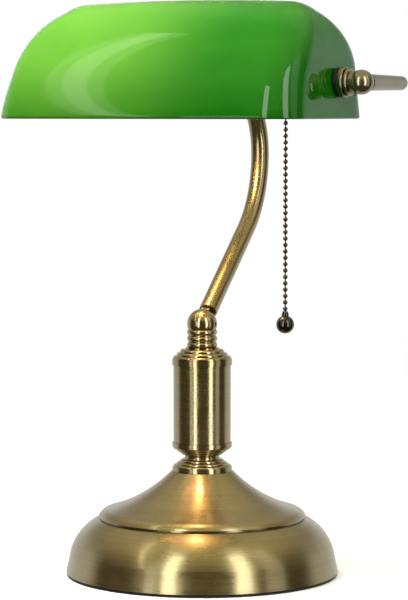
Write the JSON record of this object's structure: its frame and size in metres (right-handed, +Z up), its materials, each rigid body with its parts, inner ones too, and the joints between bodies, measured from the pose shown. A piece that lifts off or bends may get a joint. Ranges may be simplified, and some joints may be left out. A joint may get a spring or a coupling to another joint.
{
  "type": "banker desk lamp",
  "caption": "Banker desk lamp: weighted round base, short column, ball joint, curved arm, yoke, tilting green glass shade and bead pull chain.",
  "frame": {"origin": "centre of the felt pad's underside, on the surface the lamp stands on", "axes": "+Z up, -Y the front of the lamp, +X the side of the pull chain"},
  "size_m": [0.2714, 0.1998, 0.3964],
  "materials": {
    "brushed_brass": "antique brass, brushed round the axis, lacquered",
    "polished_brass": "antique brass, polished",
    "green_glass": "glossy green glass over a white lining, opaque",
    "felt": "black felt",
    "plain_steel": "zinc plated",
    "cast_iron": "raw casting",
    "black_rubber": "matte",
    "insulator": "moulded insulating plastic",
    "liner_board": "insulating fibre",
    "dark_bronze": "dark bronze, glossy",
    "bright_shell": "drawn aluminium",
    "wire_jacket": "soft jacket"
  },
  "bodies": {
    "base": {"base_pad": "felt", "bottom_plate": "plain_steel", "base_weight": "cast_iron", "base_washer": "plain_steel", "base_nut": "plain_steel", "weight_locknut": "plain_steel", "centre_pipe": "plain_steel", "column_wires": "wire_jacket", "base_shell": "brushed_brass", "cord_bushing": "black_rubber", "base_flange": "polished_brass", "neck_ring": "polished_brass", "column_foot_cap": "polished_brass", "column_top_cap": "polished_brass", "column_tube": "brushed_brass", "swivel_collar": "polished_brass", "collar_reducer": "plain_steel"},
    "swivel": {"swivel_washer": "insulator", "swivel_stem": "plain_steel", "pivot_ball": "polished_brass", "tilt_pin": "plain_steel", "tilt_washer_left": "insulator", "tilt_washer_right": "insulator"},
    "arm": {"arm_tongue": "polished_brass", "arm_tube": "polished_brass", "arm_wires": "wire_jacket", "yoke_hub": "polished_brass", "yoke_bar": "polished_brass", "side_arm_left": "polished_brass", "elbow_left": "polished_brass", "collar_nut_left": "polished_brass", "spacer_ring_left": "polished_brass", "nipple_left": "polished_brass", "inner_washer_left": "polished_brass", "nipple_nut_left": "polished_brass", "side_arm_right": "polished_brass", "elbow_right": "polished_brass", "collar_nut_right": "polished_brass", "spacer_ring_right": "polished_brass", "nipple_right": "polished_brass", "inner_washer_right": "polished_brass", "nipple_nut_right": "polished_brass", "socket_cap": "polished_brass", "socket_shell": "polished_brass", "socket_liner": "liner_board", "switch_block": "insulator", "screw_shell": "bright_shell", "centre_contact": "polished_brass", "chain_guide": "polished_brass"},
    "shade": {"glass_shade": "green_glass", "shade_grommet_left": "black_rubber", "shade_grommet_right": "black_rubber"},
    "guided_chain": {"guided_chain": "dark_bronze"},
    "chain": {"pull_chain": "dark_bronze", "chain_pendant": "dark_bronze", "pendant_collar": "dark_bronze"}
  },
  "joints": [
    {"name": "arm_swivel", "type": "hinge", "parent": "base", "child": "swivel", "pos_m": [0, 0, 0.1665], "axis": [0, 0, 1], "range_deg": [-165, 165]},
    {"name": "arm_tilt", "type": "hinge", "parent": "swivel", "child": "arm", "pos_m": [0, 0, 0.1743], "axis": [1, 0, 0], "range_deg": [-20, 20]},
    {"name": "shade_tilt", "type": "hinge", "parent": "arm", "child": "shade", "pos_m": [0, -0.02, 0.34028], "axis": [1, 0, 0], "range_deg": [-35, 35]},
    {"name": "chain_pull", "type": "slide", "parent": "arm", "child": "guided_chain", "axis": [0, 0, -1], "range_m": [0, 0.008], "stiffness_N_per_m": 400, "springref_m": -0.003},
    {"name": "chain_swing", "type": "hinge", "parent": "guided_chain", "child": "chain", "pos_m": [0.0725, -0.02, 0.31545], "axis": [1, 0, 0], "range_deg": [-30, 30]}
  ]
}
